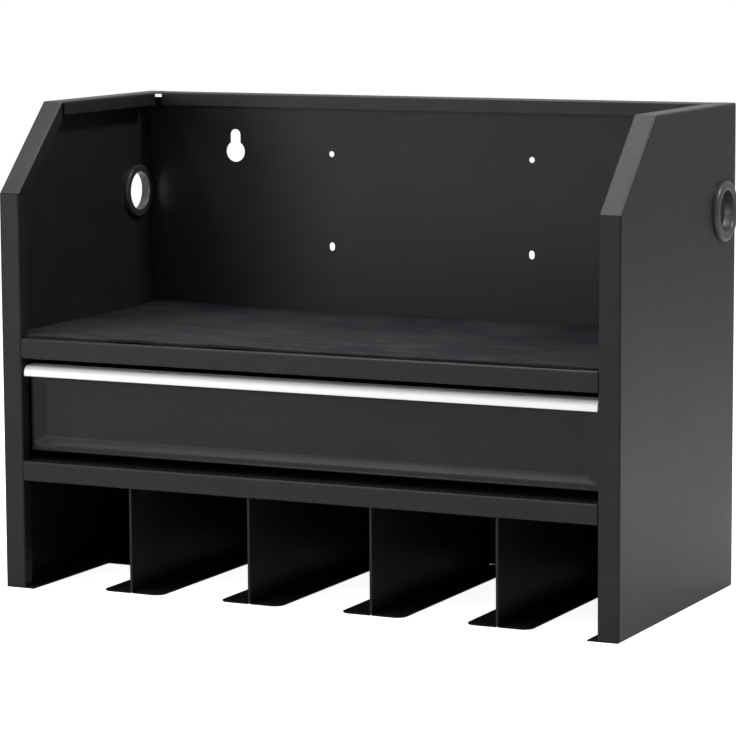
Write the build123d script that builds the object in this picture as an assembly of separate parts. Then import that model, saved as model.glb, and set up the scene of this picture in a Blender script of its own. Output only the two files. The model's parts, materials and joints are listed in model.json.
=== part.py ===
from build123d import *
import os
from math import hypot

# Wall-hung power tool holder: a folded sheet-steel cabinet with a tray on top, one drawer on ball
# slides below it, and a row of open bays at the bottom that hold drills by their grips.
# Millimetres. +X is to the right of someone in front of it, +Y is towards the wall, +Z is up.
# The origin is on the ground, in the middle of the width and of the depth.

# Cabinet
WIDTH = 660.0               # over the two side panels
DEPTH = 305.0               # from the columns' front faces to the wall
HEIGHT = 482.0              # from the feet to the top rim
SHEET = 1.2                 # steel of the cabinet
BEND = 2.0                  # outside radius of its folds
SEAM = 0.3                  # gap between sheets that meet edge to edge

# Side panels
RIM_WIDTH = 22.0            # flange along the front, the slope and the top, and the back panel's rim
RIM_LIP = 13.5              # lip folded in along those flanges, over the flange's thickness
SLOPE_RUN = 87.0            # how far back the slope reaches at the top
SLOPE_DROP = 86.5           # how far below the top the slope starts
CORNER_SLIT = 0.6           # slit between the column's flange and the slope's
FOOT_WIDTH = 32.0           # flange under each side panel
REAR_FLANGE = 14.0          # flange that the back panel lies against
LIP_NOTCH = 5.0             # gap in the lip where the rim turns a corner
LIP_CORNER_GAP = 5.5        # how far the rim's lips stop short of each other at the back corners
CORNER_RELIEF = 6.5         # height of the see-through notch under the rim at the back corners

# Back panel
PANEL_CLEARANCE = 1.0       # between the back panel's upright edges and the side panels
KEYHOLE_SPACING = 452.0
KEYHOLE_DROP = 62.0         # from the top rim down to the round part that passes over a screw's head
KEYHOLE_HEAD_R = 11.0
KEYHOLE_SLOT_R = 6.0        # half the slot's width
KEYHOLE_RISE = 17.5         # from the round part's centre to the slot's end centre
ACCESSORY_SPACING = 226.0
ACCESSORY_HOLE_R = 3.1
ACCESSORY_DROP = 96.5       # from the round holes down to the slots
ACCESSORY_SLOT_RISE = 2.6   # between the slot's two end centres

# Shelf, deck and bays
SHELF_Z = 252.0             # top of the tray's floor
SHELF_EDGE_HEIGHT = 19.5    # height of its turned-up edges over the floor
SHELF_WELD_X = 168.0        # weld mark on the rear turned-up edge
SHELF_WELD_RISE = 12.0      # the mark's height over the floor
DECK_Z = 129.0              # top of the deck between the drawer and the bays
DECK_EDGE_HEIGHT = 8.0
BAND = 20.0                 # front band of the shelf and of the deck
BAND_RETURN = 8.0           # hem folded back under each band
SIDE_EDGE_START = 25.0      # from the front to where the side edges start to turn up
EDGE_CORNER_GAP = 27.0      # between the side and rear turned-up edges at the corners
BAY_COUNT = 5
BAY_SLOT = 65.0             # width of the slot between two feet
DIVIDER_SETBACK = 21.0      # dividers stand this far behind the columns' front faces
DIVIDER_TAB = 16.0          # flange under the deck
DIVIDER_REAR_TAB = 12.0     # flange against the back panel
DIVIDER_TAB_GAP = 1.5       # between the rear tab and the flanges above and below it
FOOT_CORNER_R = 10.0        # rounded front corners of the dividers' feet
WELD_MARK_R = 2.5
WELD_MARK_DEPTH = 0.3
WELD_MARK_Z = 72.5
WELD_MARK_INSET = 49.0      # from a divider's front and rear edges
BAY_PLATE_START = 143.5     # from the front to the plate that closes the left bay's slot
BAY_PLATE_LAP = 12.0        # how far it lies on the feet beside it

# Mat
MAT_THICKNESS = 3.0
MAT_FRONT_GAP = 5.0
MAT_SIDE_GAP = 1.1

# Cable grommets
GROMMET_BACK = 33.5         # from the wall to the bore's axis
GROMMET_DROP = 104.0        # from the top rim down to the bore's axis
GROMMET_BORE_R = 20.2
GROMMET_BARREL_WALL = 3.0
GROMMET_FLANGE_R = 30.0
GROMMET_FLANGE_T = 4.8
GROMMET_FLANGE_ROUND = 3.0
GROMMET_RING_R = 27.5
GROMMET_RING_T = 5.0
GROMMET_RING_ROUND = 1.4
GROMMET_HOLE_GAP = 0.4      # radial, in the side panel
GROMMET_RING_GAP = 0.05     # radial, ring on barrel

# Drawer
DRAWER_SETBACK = 14.0       # from the columns' front faces to the drawer front's border
DRAWER_SIDE_GAP = 1.5       # on each side, in the opening between the columns
DRAWER_SHEET = 1.0
DRAWER_BEND = 1.8
DRAWER_FRONT_LIFT = 9.3     # drawer front over the deck
DRAWER_FRONT_RETURN = 16.0  # flanges folded back around the front
PRESS_DEPTH = 5.5           # how deep the middle of the front is pressed in
PRESS_BORDER_SIDE = 3.3
PRESS_BORDER_FOOT = 6.5
PRESS_BORDER_TOP = 9.5
PRESS_SLOPE_SIDE = 12.0
PRESS_SLOPE_FOOT = 6.0
PRESS_SLOPE_TOP = 3.0
PRESS_ROUND = 5.0           # where the slopes meet each other and the pressed panel
PRESS_EDGE_ROUND = 1.5      # where the border runs into the slopes
BEAD_R = 1.4                # rolled bead along the front's lower edge
BOX_FLOOR_LIFT = 2.5        # drawer box over the front's lower edge
BOX_TOP_DROP = 12.0         # drawer box's rim under the front's top
BOX_HEM = 6.0               # hem folded in along the box's rim
BOX_REAR_GAP = 20.0         # behind the drawer box when it is shut

# Pull
PULL_SHEET = 1.6
PULL_TOP_GAP = 7.2          # between the shelf's band and the pull
PULL_CAP = 9.0              # how far the pull reaches back over the drawer front's top
PULL_REACH = 11.2           # how far it stands out from the drawer front's border
PULL_HEIGHT = 9.8
PULL_ROUND = 7.8            # quarter round from its top to its front
PULL_LIP = 2.5              # finger edge turned in along its foot
PULL_LIP_ROUND = 1.6
PULL_LEG = 9.2              # height of the leg riveted to the drawer front
PULL_RIVET_GAP = 0.5        # between the rivets' tails and the pressed-in middle of the front
PULL_RIVET_COUNT = 5

# Slides
SLIDE_GAP = 3.0             # between the drawer front's flanges and the slides
SLIDE_REAR_GAP = 15.6       # between the slides and the back panel
SLIDE_THICKNESS = 12.7
SLIDE_SHEET = 1.3
SLIDE_BEND = 1.8
SLIDE_HALF_HEIGHT = 22.5
SLIDE_WEB_GAP = 1.1         # between the webs of the outer and middle members, where the cage runs
SLIDE_LEG_END = 2.5         # between the outer member's legs and the drawer box
SLIDE_MIDDLE_LEG_END = 2.9
SLIDE_INNER_LEG_START = 4.8 # from the slide's mounting face
BALL_R = 2.4
RACE_GAP = 0.1              # radial, ball in race
RACE_DEPTH = 0.3
RACE_OUTER_OFFSET = 5.9     # ball rows from the slide's mounting face
RACE_INNER_OFFSET = 7.4
CAGE_SHEET = 0.5
CAGE_BEND = 0.9
CAGE_GAP = 0.3              # between a cage and the webs beside it
CAGE_REACH = 3.1            # cage flange past the ball rows
CAGE_LENGTH = 126.0
CAGE_START = 62.0           # behind the slide's front end, with the drawer shut
CAGE_END_MARGIN = 6.0       # first ball from the cage's end
CAGE_BALL_GAP = 0.15        # radial
BALLS_PER_ROW = 6
BRACKET_SHEET = 1.5
BRACKET_BEND = 2.4
BRACKET_CROWN = 3.0         # crown beyond the slide, above and below

# Fasteners
RIVET_R = 1.6
RIVET_GAP = 0.1             # radial, in its holes
RIVET_HEAD_R = 3.2
RIVET_HEAD_T = 1.1
RIVET_TAIL_R = 2.5
RIVET_TAIL_T = 1.8
SCREW_R = 2.0
SCREW_HEAD_R = 3.9
SCREW_TIP = 4.0             # thread that shows behind the bracket
FASTENER_INSET = 30.0       # slide fasteners from the slide's ends

# Planes and lines that follow from the sizes above
FRONT = -DEPTH / 2
BACK = DEPTH / 2
HALF = WIDTH / 2
INSIDE = HALF - SHEET                       # inner faces of the side panels
OPENING = HALF - RIM_WIDTH                  # edges of the opening between the columns
REAR_FACE = BACK - SHEET                    # rear face of the back panel
REAR_STOP = REAR_FACE - SHEET               # front face of the back panel
SPAN = OPENING - SEAM                       # half length of what fits between the columns
DECK_UNDERSIDE = DECK_Z - SHEET
SLOPE_FOOT_Z = HEIGHT - SLOPE_DROP
KEYHOLE_Z = HEIGHT - KEYHOLE_DROP
DIVIDER_FRONT = FRONT + DIVIDER_SETBACK
BAY_PITCH = WIDTH / BAY_COUNT
DIVIDER_FOOT = (BAY_PITCH - BAY_SLOT) / 2
WALLS = [-HALF + BAY_PITCH * (i + 1) for i in range(BAY_COUNT - 1)]

BORDER_Y = FRONT + DRAWER_SETBACK           # front face of the drawer front's border
FRONT_HALF = OPENING - DRAWER_SIDE_GAP
FRONT_FOOT_Z = DECK_Z + DRAWER_FRONT_LIFT
PULL_TOP_Z = SHELF_Z - BAND - PULL_TOP_GAP
FRONT_TOP_Z = PULL_TOP_Z - PULL_SHEET
BOX_HALF = OPENING - SLIDE_THICKNESS
BOX_FRONT = BORDER_Y + PRESS_DEPTH + DRAWER_SHEET
BOX_BACK = REAR_STOP - BOX_REAR_GAP
BOX_Z = FRONT_FOOT_Z + BOX_FLOOR_LIFT
BOX_TOP_Z = FRONT_TOP_Z - BOX_TOP_DROP

SLIDE_FRONT = BORDER_Y + DRAWER_FRONT_RETURN + SLIDE_GAP
SLIDE_BACK = REAR_STOP - SLIDE_REAR_GAP
SLIDE_Z = (BOX_Z + BOX_TOP_Z) / 2
RACE_R = BALL_R + RACE_GAP
RACE_FLAT = RACE_R - RACE_DEPTH             # from a ball row to the flats beside it
OUTER_ROW = SLIDE_HALF_HEIGHT - SLIDE_SHEET - RACE_FLAT
MIDDLE_HALF_HEIGHT = OUTER_ROW - RACE_FLAT
INNER_ROW = MIDDLE_HALF_HEIGHT - SLIDE_SHEET - RACE_FLAT
INNER_HALF_HEIGHT = INNER_ROW - RACE_FLAT
MIDDLE_START = SLIDE_SHEET + SLIDE_WEB_GAP
OUTER_CAGE_START = SLIDE_SHEET + CAGE_GAP
INNER_CAGE_START = MIDDLE_START + SLIDE_SHEET + CAGE_GAP
CAGE_FRONT = SLIDE_FRONT + CAGE_START
SLIDE_FASTENER_YS = [SLIDE_FRONT + FASTENER_INSET, SLIDE_BACK - FASTENER_INSET]

GROMMET_Y = BACK - GROMMET_BACK
GROMMET_Z = HEIGHT - GROMMET_DROP
GROMMET_BARREL_R = GROMMET_BORE_R + GROMMET_BARREL_WALL
GROMMET_HOLE_R = GROMMET_BARREL_R + GROMMET_HOLE_GAP
HOLE_R = RIVET_R + RIVET_GAP

# Local planes: the outline is drawn in the first two named axes and extruded along the third
YZ_PLANE = Plane(origin=(0, 0, 0), x_dir=(0, 1, 0), z_dir=(1, 0, 0))
XZ_PLANE = Plane(origin=(0, 0, 0), x_dir=(1, 0, 0), z_dir=(0, -1, 0))


def span_box(x0, x1, y0, y1, z0, z1):
    """A box between two corners."""
    size = Box(x1 - x0, y1 - y0, z1 - z0)
    return Pos((x0 + x1) / 2, (y0 + y1) / 2, (z0 + z1) / 2) * size


def prism_x(face, x0, x1):
    """Extrude a (y, z) outline from x0 to x1."""
    return extrude(Pos(x0, 0, 0) * (YZ_PLANE * face), x1 - x0)


def prism_y(face, y0, y1):
    """Extrude an (x, z) outline from y0 to y1."""
    return extrude(Pos(0, y1, 0) * (XZ_PLANE * face), y1 - y0)


def prism_z(face, z0, z1):
    """Extrude an (x, y) outline from z0 to z1."""
    return extrude(Pos(0, 0, z0) * face, z1 - z0)


def rod_x(y, z, radius, x0, x1):
    """A round bar along X."""
    return prism_x(Pos(y, z) * Circle(radius), x0, x1)


def rod_y(x, z, radius, y0, y1):
    """A round bar along Y."""
    return prism_y(Pos(x, z) * Circle(radius), y0, y1)


def rod_z(x, y, radius, z0, z1):
    """A round bar along Z."""
    return prism_z(Pos(x, y) * Circle(radius), z0, z1)


def outline(points):
    """A flat face with straight edges."""
    return make_face(Polyline(*points, close=True))


def corner_point(before, corner, after, offset_in, offset_out):
    """Where two edges that meet at a corner cross once each has moved to its left."""
    ax, ay = corner[0] - before[0], corner[1] - before[1]
    bx, by = after[0] - corner[0], after[1] - corner[1]
    a_len = hypot(ax, ay)
    b_len = hypot(bx, by)
    ax, ay = ax / a_len, ay / a_len
    bx, by = bx / b_len, by / b_len
    px, py = corner[0] - ay * offset_in, corner[1] + ax * offset_in
    qx, qy = corner[0] - by * offset_out, corner[1] + bx * offset_out
    cross = ax * by - ay * bx
    travel = ((qx - px) * by - (qy - py) * bx) / cross
    return (px + ax * travel, py + ay * travel)


def inset_outline(points, insets):
    """Move each edge of a closed outline inwards by its own amount."""
    count = len(points)
    moved = []
    for i in range(count):
        before, corner, after = points[i - 1], points[i], points[(i + 1) % count]
        moved.append(corner_point(before, corner, after, insets[i - 1], insets[i]))
    return moved


def bent_sheet(path, thickness, bends):
    """The section of a sheet folded along a path. The path is one face; the sheet is on its left.

    bends is the outside radius of every fold, or a list with one radius for each.
    """
    last = len(path) - 1
    if not isinstance(bends, list):
        bends = [bends] * (last - 1)
    first_normal = end_point(path[0], path[1], thickness)
    offset_side = [first_normal]
    path_radii = [0.0]
    offset_radii = [0.0]
    for i in range(1, last):
        before, point, after = path[i - 1], path[i], path[i + 1]
        offset_side.append(corner_point(before, point, after, thickness, thickness))
        ax, ay = point[0] - before[0], point[1] - before[1]
        bx, by = after[0] - point[0], after[1] - point[1]
        outside, inside = bends[i - 1], bends[i - 1] - thickness
        turns_left = ax * by - ay * bx > 0
        path_radii.append(outside if turns_left else inside)
        offset_radii.append(inside if turns_left else outside)
    back_step = (2 * path[last][0] - path[last - 1][0], 2 * path[last][1] - path[last - 1][1])
    offset_side.append(end_point(path[last], back_step, thickness))
    path_radii.append(0.0)
    offset_radii.append(0.0)
    points = list(path) + offset_side[::-1]
    radii = path_radii + offset_radii[::-1]
    return make_face(FilletPolyline(*points, radius=radii, close=True))


def end_point(start, ahead, thickness):
    """The point at a sheet's thickness to the left of an end of its path."""
    dx, dy = ahead[0] - start[0], ahead[1] - start[1]
    length = hypot(dx, dy)
    return (start[0] - dy / length * thickness, start[1] + dx / length * thickness)


def fold_edges(solid, points, height, rims):
    """The edges around a block's foot, and those of its top edges that are folded over."""
    count = len(points)
    edges = list(solid.edges().group_by(Axis.Z)[0])
    for i in rims:
        start, end = points[i], points[(i + 1) % count]
        middle = Vector((start[0] + end[0]) / 2, (start[1] + end[1]) / 2, height)
        edges.append(solid.edges().sort_by_distance(middle)[0])
    return edges


def folded_tray(points, depth, thickness, bend, lips):
    """A flat web with a wall along every edge of its outline and lips folded in along some rims.

    lips gives, for each edge, how far the rim's lip reaches in; the sheet's thickness means no lip.
    """
    rims = [i for i, lip in enumerate(lips) if lip > thickness]
    outer = extrude(outline(points), depth)
    outer = fillet(fold_edges(outer, points, depth, rims), bend)
    inner_points = inset_outline(points, [thickness] * len(points))
    inner_top = depth - thickness if rims else depth + bend
    cavity = extrude(outline(inner_points), inner_top - thickness)
    cavity = fillet(fold_edges(cavity, inner_points, inner_top - thickness, rims), bend - thickness)
    mouth = extrude(outline(inset_outline(points, lips)), thickness * 4)
    return outer - Pos(0, 0, thickness) * cavity - Pos(0, 0, depth - thickness * 2) * mouth


def group(solids):
    """Separate solids that share one name."""
    return Compound(children=[s.solid() for s in solids])


def mirrored(shape):
    """The same piece for the other side of the cabinet."""
    return mirror(shape, about=Plane.YZ)


def side_points():
    """Outline of a side panel, as (y, z), starting at the lower front corner."""
    return [(FRONT, 0.0), (BACK, 0.0), (BACK, HEIGHT), (FRONT + SLOPE_RUN, HEIGHT), (FRONT, SLOPE_FOOT_Z)]


def lip_gap(y0, y1, z0, z1):
    """The part of the left panel's lip between two heights and two depths, inside the folds."""
    inside_folds = outline(inset_outline(side_points(), [SHEET, SHEET, BEND, BEND, BEND]))
    lip_zone = prism_x(inside_folds, -OPENING - SHEET - SEAM, -OPENING + SHEET)
    return lip_zone & span_box(-OPENING - SHEET * 2, -OPENING + SHEET * 2, y0, y1, z0, z1)


def left_side_panel():
    """Side panel with its rim, foot and rear flanges and the cable hole."""
    lips = [SHEET, SHEET, RIM_LIP, RIM_LIP, RIM_LIP]
    tray = folded_tray(side_points(), RIM_WIDTH, SHEET, BEND, lips)
    panel = Pos(-HALF, 0, 0) * (YZ_PLANE.location * tray)
    panel += span_box(-OPENING - SHEET, -HALF + FOOT_WIDTH, FRONT, BACK, 0, SHEET)
    panel -= span_box(-HALF + REAR_FLANGE, -OPENING + SHEET, REAR_FACE, BACK + SHEET, SHEET, HEIGHT - SHEET)
    panel -= span_box(-INSIDE, -OPENING, REAR_FACE, BACK + SHEET, HEIGHT - CORNER_RELIEF, HEIGHT - SHEET)
    slope_top_y = FRONT + SLOPE_RUN
    lip_floor = HEIGHT - RIM_LIP - LIP_NOTCH
    panel -= lip_gap(slope_top_y, slope_top_y + LIP_NOTCH, lip_floor, HEIGHT)
    notch_low = SLOPE_FOOT_Z - LIP_NOTCH / 2
    panel -= lip_gap(FRONT, FRONT + RIM_LIP + LIP_NOTCH, notch_low, notch_low + LIP_NOTCH)
    slit_low = SLOPE_FOOT_Z - CORNER_SLIT / 2
    slit_high = slit_low + CORNER_SLIT
    panel -= span_box(-INSIDE + BEND, -OPENING + SHEET, FRONT - SHEET, FRONT + RIM_LIP, slit_low, slit_high)
    panel -= lip_gap(BACK - RIM_WIDTH - LIP_CORNER_GAP, BACK, lip_floor, HEIGHT)
    panel -= lip_gap(FRONT, FRONT + RIM_LIP + LIP_NOTCH, SHEET, SHEET + LIP_NOTCH / 2)
    panel -= rod_x(GROMMET_Y, GROMMET_Z, GROMMET_HOLE_R, -HALF - SHEET, -INSIDE + SHEET)
    return panel


def keyhole(x):
    """Cutter for one keyhole: a round hole with a slot above it."""
    y0, y1 = REAR_STOP - SHEET, REAR_FACE + SHEET
    slot_end = KEYHOLE_Z + KEYHOLE_RISE
    head = rod_y(x, KEYHOLE_Z, KEYHOLE_HEAD_R, y0, y1)
    slot = span_box(x - KEYHOLE_SLOT_R, x + KEYHOLE_SLOT_R, y0, y1, KEYHOLE_Z, slot_end)
    return head + slot + rod_y(x, slot_end, KEYHOLE_SLOT_R, y0, y1)


def accessory_slot(x):
    """Cutter for one upright slot below a round accessory hole."""
    y0, y1 = REAR_STOP - SHEET, REAR_FACE + SHEET
    low = KEYHOLE_Z - ACCESSORY_DROP - ACCESSORY_SLOT_RISE / 2
    high = low + ACCESSORY_SLOT_RISE
    slot = span_box(x - ACCESSORY_HOLE_R, x + ACCESSORY_HOLE_R, y0, y1, low, high)
    return slot + rod_y(x, low, ACCESSORY_HOLE_R, y0, y1) + rod_y(x, high, ACCESSORY_HOLE_R, y0, y1)


def back_panel():
    """Back panel with its folded rim, keyholes and accessory holes."""
    half = INSIDE - PANEL_CLEARANCE
    relief_z = HEIGHT - CORNER_RELIEF
    panel = span_box(-half, half, REAR_STOP, REAR_FACE, SHEET, relief_z)
    rim_front = REAR_FACE - RIM_WIDTH
    lip_z = HEIGHT - RIM_LIP
    path = [(REAR_FACE, relief_z - BEND), (REAR_FACE, HEIGHT), (rim_front, HEIGHT), (rim_front, lip_z)]
    panel += prism_x(bent_sheet(path, SHEET, BEND), -SPAN, SPAN)
    lip_end = OPENING - LIP_CORNER_GAP
    for side in (-1, 1):
        x0, x1 = sorted((side * lip_end, side * (SPAN + SHEET)))
        panel -= span_box(x0, x1, rim_front - SHEET, rim_front + BEND, lip_z - SHEET, HEIGHT - BEND)
        panel -= keyhole(side * KEYHOLE_SPACING / 2)
        x = side * ACCESSORY_SPACING / 2
        panel -= rod_y(x, KEYHOLE_Z, ACCESSORY_HOLE_R, REAR_STOP - SHEET, REAR_FACE + SHEET)
        panel -= accessory_slot(x)
    return panel


def front_banded_floor(top, edge_height):
    """A floor between the side panels: band folded down in front, other edges turned up."""
    low = top - SHEET
    lap = BEND * 4
    lip_line = FRONT + RIM_LIP + SEAM
    floor = span_box(-INSIDE + BEND, INSIDE - BEND, lip_line, REAR_STOP - BEND, low, top)
    band_path = [(lip_line + lap, top), (FRONT, top), (FRONT, top - BAND), (FRONT + BAND_RETURN, top - BAND)]
    floor += prism_x(bent_sheet(band_path, SHEET, BEND), -SPAN, SPAN)
    rear_path = [(REAR_STOP - lap, low), (REAR_STOP, low), (REAR_STOP, top + edge_height)]
    rear_half = INSIDE - EDGE_CORNER_GAP
    floor += prism_x(bent_sheet(rear_path, SHEET, BEND), -rear_half, rear_half)
    side_path = [(-INSIDE, top + edge_height), (-INSIDE, low), (-INSIDE + lap, low)]
    side = prism_y(bent_sheet(side_path, SHEET, BEND), FRONT + SIDE_EDGE_START, REAR_STOP - EDGE_CORNER_GAP)
    return floor + side + mirrored(side)


def top_shelf():
    """The tray's floor, with the weld mark on its rear edge."""
    face = REAR_STOP - SHEET
    mark_z = SHELF_Z + SHELF_WELD_RISE
    mark = rod_y(SHELF_WELD_X, mark_z, WELD_MARK_R, face - SHEET, face + WELD_MARK_DEPTH)
    return front_banded_floor(SHELF_Z, SHELF_EDGE_HEIGHT) - mark


def rounded_foot_corner(x, y, inward):
    """Cutter that rounds a divider foot's front corner."""
    cx = x + inward * FOOT_CORNER_R
    x0, x1 = sorted((x - inward * SEAM, cx))
    block = span_box(x0, x1, y - SEAM, y + FOOT_CORNER_R, -SEAM, SHEET + SEAM)
    return block - rod_z(cx, y + FOOT_CORNER_R, FOOT_CORNER_R, -SEAM, SHEET + SEAM)


def divider_left_half(wall):
    """Bent half of a divider whose foot reaches to the left of the wall line."""
    tip = wall - DIVIDER_FOOT
    path = [(tip, 0), (wall, 0), (wall, DECK_UNDERSIDE), (wall - DIVIDER_TAB, DECK_UNDERSIDE)]
    half = prism_y(bent_sheet(path, SHEET, BEND), DIVIDER_FRONT, REAR_STOP - BEND)
    half += span_box(tip, wall - BEND, REAR_STOP - BEND * 2, REAR_STOP - SEAM, 0, SHEET)
    tab_path = [(wall, REAR_STOP - BEND * 4), (wall, REAR_STOP), (wall - DIVIDER_REAR_TAB, REAR_STOP)]
    tab_low = BEND + DIVIDER_TAB_GAP
    half += prism_z(bent_sheet(tab_path, SHEET, BEND), tab_low, DECK_UNDERSIDE - tab_low)
    half -= rounded_foot_corner(tip, DIVIDER_FRONT, 1)
    for y in (DIVIDER_FRONT + WELD_MARK_INSET, REAR_STOP - WELD_MARK_INSET):
        face = wall - SHEET
        half -= rod_x(y, WELD_MARK_Z, WELD_MARK_R, face - SHEET, face + WELD_MARK_DEPTH)
    return half


def divider_right_half(wall):
    """The half whose foot reaches to the right."""
    return mirror(divider_left_half(wall), about=Plane.YZ.offset(wall))


def bay_plate():
    """Plate on the feet that closes the rear of the left-hand bay's slot."""
    x0 = -HALF + FOOT_WIDTH - BAY_PLATE_LAP
    x1 = WALLS[0] - DIVIDER_FOOT + BAY_PLATE_LAP
    return span_box(x0, x1, FRONT + BAY_PLATE_START, REAR_STOP, SHEET, SHEET * 2)


def shelf_mat():
    """Mat on the shelf, cut around the columns' lips."""
    narrow = SPAN - MAT_SIDE_GAP
    wide = INSIDE - SHEET - MAT_SIDE_GAP
    y0 = FRONT + MAT_FRONT_GAP
    y1 = FRONT + RIM_LIP + MAT_SIDE_GAP
    y2 = REAR_STOP - SHEET - MAT_SIDE_GAP
    right = [(narrow, y0), (narrow, y1), (wide, y1), (wide, y2)]
    left = [(-x, y) for x, y in reversed(right)]
    return prism_z(outline(right + left), SHELF_Z, SHELF_Z + MAT_THICKNESS)


def grommet_place(side):
    """Where a grommet's axis crosses the side panel's outer face, pointing out."""
    return Plane(origin=(side * HALF, GROMMET_Y, GROMMET_Z), x_dir=(0, 1, 0), z_dir=(side, 0, 0))


def grommet_bushing(side):
    """Flanged bushing that lines the cable hole from outside."""
    barrel_end = -SHEET - GROMMET_RING_T
    flange = extrude(Circle(GROMMET_FLANGE_R), GROMMET_FLANGE_T)
    flange = fillet(flange.edges().group_by(Axis.Z)[-1], GROMMET_FLANGE_ROUND)
    bushing = flange + rod_z(0, 0, GROMMET_BARREL_R, barrel_end, 0)
    bushing -= rod_z(0, 0, GROMMET_BORE_R, barrel_end - SHEET, GROMMET_FLANGE_T + SHEET)
    return grommet_place(side).location * bushing


def grommet_ring(side):
    """Ring pressed on the bushing's barrel against the side panel's inner face."""
    inner_end = -SHEET - GROMMET_RING_T
    ring = rod_z(0, 0, GROMMET_RING_R, inner_end, -SHEET)
    ring = fillet(ring.edges().group_by(Axis.Z)[0], GROMMET_RING_ROUND)
    ring -= rod_z(0, 0, GROMMET_BARREL_R + GROMMET_RING_GAP, inner_end - SHEET, 0)
    return grommet_place(side).location * ring


def pressed_mouth(grow):
    """Where the pressed-in middle of the drawer front starts: half width, foot and top."""
    half = FRONT_HALF - PRESS_BORDER_SIDE + grow
    foot = FRONT_FOOT_Z + PRESS_BORDER_FOOT - grow
    return half, foot, FRONT_TOP_Z - PRESS_BORDER_TOP + grow


def pressed_section(half, foot, top, y):
    """A rectangle across the pressed-in middle."""
    return Pos(0, y, 0) * (XZ_PLANE * outline([(-half, foot), (half, foot), (half, top), (-half, top)]))


def pressed_block(grow):
    """The pressed-in middle of the drawer front as a block, grown all round by some amount."""
    half, foot, top = pressed_mouth(grow)
    mouth = pressed_section(half, foot, top, BORDER_Y)
    bed_half, bed_foot, bed_top = half - PRESS_SLOPE_SIDE, foot + PRESS_SLOPE_FOOT, top - PRESS_SLOPE_TOP
    block = loft([mouth, pressed_section(bed_half, bed_foot, bed_top, BORDER_Y + PRESS_DEPTH + grow)])
    front_edges = block.edges().group_by(Axis.Y)[0]
    return fillet([e for e in block.edges() if e not in front_edges], PRESS_ROUND + grow)


def pull_rivet_xs():
    """Rivets spaced evenly along the pull."""
    pitch = 2 * FRONT_HALF / PULL_RIVET_COUNT
    return [-FRONT_HALF + pitch * (i + 0.5) for i in range(PULL_RIVET_COUNT)]


def pull_rivet_z():
    """Height of the pull's rivets."""
    pressed_top = pressed_mouth(DRAWER_SHEET)[2]
    return pressed_top + PULL_RIVET_GAP + RIVET_TAIL_R


def drawer_front():
    """Drawer front: pressed panel, flanges folded back, rolled bead along the lower edge."""
    height = FRONT_TOP_Z - FRONT_FOOT_Z
    points = [(-FRONT_HALF, 0), (FRONT_HALF, 0), (FRONT_HALF, height), (-FRONT_HALF, height)]
    shell = folded_tray(points, DRAWER_FRONT_RETURN, DRAWER_SHEET, DRAWER_BEND, [DRAWER_SHEET] * 4)
    turned = Plane(origin=(0, BORDER_Y, FRONT_TOP_Z), x_dir=(1, 0, 0), z_dir=(0, 1, 0))
    front = turned.location * shell
    front += pressed_block(DRAWER_SHEET) - span_box(-HALF, HALF, FRONT, BORDER_Y, 0, HEIGHT)
    front -= pressed_block(0)
    front = fillet(pressed_rim(front), PRESS_EDGE_ROUND)
    front += rod_x(BORDER_Y, FRONT_FOOT_Z + BEAD_R, BEAD_R, -FRONT_HALF, FRONT_HALF)
    for x in pull_rivet_xs():
        front -= rod_y(x, pull_rivet_z(), HOLE_R, BORDER_Y - SHEET, BORDER_Y + DRAWER_SHEET * 2)
    return front


def pressed_rim(front):
    """The edges where the drawer front's border meets the pressed-in slopes."""
    half, foot, top = pressed_mouth(SEAM)
    rim = []
    for edge in front.edges():
        low, high = edge.bounding_box().min, edge.bounding_box().max
        in_front = max(abs(low.Y - BORDER_Y), abs(high.Y - BORDER_Y)) < SEAM / 2
        if in_front and -half < low.X and high.X < half and foot < low.Z and high.Z < top:
            rim.append(edge)
    return rim


def drawer_body():
    """Drawer box with hemmed rims and the slides' rivet holes."""
    points = [(-BOX_HALF, BOX_FRONT), (BOX_HALF, BOX_FRONT), (BOX_HALF, BOX_BACK), (-BOX_HALF, BOX_BACK)]
    height = BOX_TOP_Z - BOX_Z
    box = Pos(0, 0, BOX_Z) * folded_tray(points, height, DRAWER_SHEET, DRAWER_BEND, [BOX_HEM] * 4)
    for y in SLIDE_FASTENER_YS:
        for side in (-1, 1):
            x0, x1 = sorted((side * (BOX_HALF - DRAWER_SHEET * 2), side * (BOX_HALF + DRAWER_SHEET)))
            box -= rod_x(y, SLIDE_Z, HOLE_R, x0, x1)
    return box


def drawer_pull():
    """Full-width aluminium pull: quarter round over the drawer front's top, with a finger edge."""
    nose_y = BORDER_Y - PULL_REACH
    foot_z = PULL_TOP_Z - PULL_HEIGHT
    cap_y = BORDER_Y + PULL_CAP
    lip_y = nose_y + PULL_LIP
    path = [(cap_y, PULL_TOP_Z), (nose_y, PULL_TOP_Z), (nose_y, foot_z), (lip_y, foot_z)]
    pull = prism_x(bent_sheet(path, PULL_SHEET, [PULL_ROUND, PULL_LIP_ROUND]), -FRONT_HALF, FRONT_HALF)
    leg_top = PULL_TOP_Z - PULL_SHEET / 2
    leg_foot = PULL_TOP_Z - PULL_SHEET - PULL_LEG
    pull += span_box(-FRONT_HALF, FRONT_HALF, BORDER_Y - PULL_SHEET, BORDER_Y, leg_foot, leg_top)
    for x in pull_rivet_xs():
        pull -= rod_y(x, pull_rivet_z(), HOLE_R, BORDER_Y - PULL_SHEET * 2, BORDER_Y + SHEET)
    return pull


def slide_x(offset):
    """X of a point on the left slide, from its distance to the slide's mounting face."""
    return -OPENING + offset


def race(row, offset):
    """Cutter for the two races, above and below, that share one distance from the mounting face."""
    x = slide_x(offset)
    low = rod_y(x, SLIDE_Z - row, RACE_R, SLIDE_FRONT - SHEET, SLIDE_BACK + SHEET)
    return low + rod_y(x, SLIDE_Z + row, RACE_R, SLIDE_FRONT - SHEET, SLIDE_BACK + SHEET)


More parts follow.
